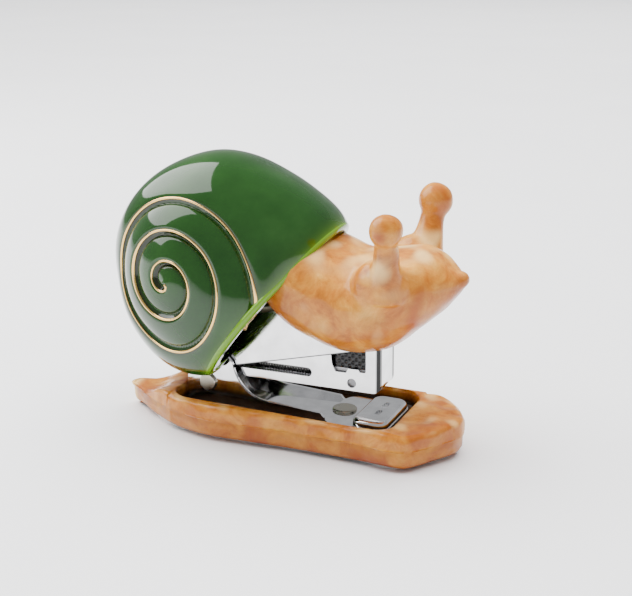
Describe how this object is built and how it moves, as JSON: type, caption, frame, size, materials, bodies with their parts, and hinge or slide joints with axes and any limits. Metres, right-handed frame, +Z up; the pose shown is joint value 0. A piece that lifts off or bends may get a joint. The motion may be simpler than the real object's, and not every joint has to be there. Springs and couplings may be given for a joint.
{
  "type": "mini stapler",
  "caption": "Mini stapler in the shape of a glazed snail: press the head and shell to drive a small staple into paper on the anvil in its foot.",
  "frame": {"origin": "on the table, at the middle of the flat underside of the foot", "axes": "+X towards the snail's head, +Y to the snail's left, +Z up"},
  "size_m": [0.1045, 0.0538, 0.0797],
  "materials": {
    "foot_glaze": "gloss",
    "head_glaze": "gloss",
    "shell_glaze": "gloss",
    "gold": "polished",
    "chrome": "polished",
    "chrome_dark": "satin",
    "spring_steel": "satin",
    "rivet_steel": "satin",
    "staple_wire": "satin",
    "black_plastic": "matte",
    "adhesive": "matte",
    "felt_pad": "matte"
  },
  "bodies": {
    "base": {"foot": "foot_glaze", "foot_pad": "felt_pad", "base_glue_bed": "adhesive", "base_plate": "chrome", "anvil_plate": "chrome", "anvil_rivet": "rivet_steel", "return_leaf_spring": "spring_steel", "leaf_spring_rivet": "rivet_steel", "pivot_pin": "rivet_steel"},
    "magazine": {"magazine": "chrome", "staple_rail": "chrome_dark", "rear_stop": "black_plastic", "guide_rod": "spring_steel", "staple_strip": "staple_wire", "blade_guide_block": "black_plastic", "follower_spring": "spring_steel", "handle_spring": "spring_steel"},
    "follower": {"follower": "black_plastic"},
    "handle": {"handle": "chrome", "driver_blade": "spring_steel", "driver_rivets": "rivet_steel", "handle_glue_bed": "adhesive", "shell": "shell_glaze", "spiral_trim_right": "gold", "spiral_trim_left": "gold", "head": "head_glaze"}
  },
  "joints": [
    {"name": "magazine_hinge", "type": "hinge", "parent": "base", "child": "magazine", "pos_m": [-0.0219, 0, 0.013], "axis": [0, 1, 0], "range_deg": [0, 6], "stiffness_Nm_per_rad": 0.6, "springref_deg": -9.17, "deforming": ["return_leaf_spring"]},
    {"name": "handle_hinge", "type": "hinge", "parent": "magazine", "child": "handle", "pos_m": [-0.0219, 0, 0.013], "axis": [0, 1, 0], "range_deg": [-18, 12.5], "stiffness_Nm_per_rad": 1.8, "springref_deg": -1.03, "deforming": ["handle_spring"]},
    {"name": "follower_slide", "type": "slide", "parent": "magazine", "child": "follower", "axis": [0.9998, 0, 0.0209], "range_m": [-0.008, 0], "stiffness_N_per_m": 60, "springref_m": 0.02, "deforming": ["follower_spring"]}
  ]
}
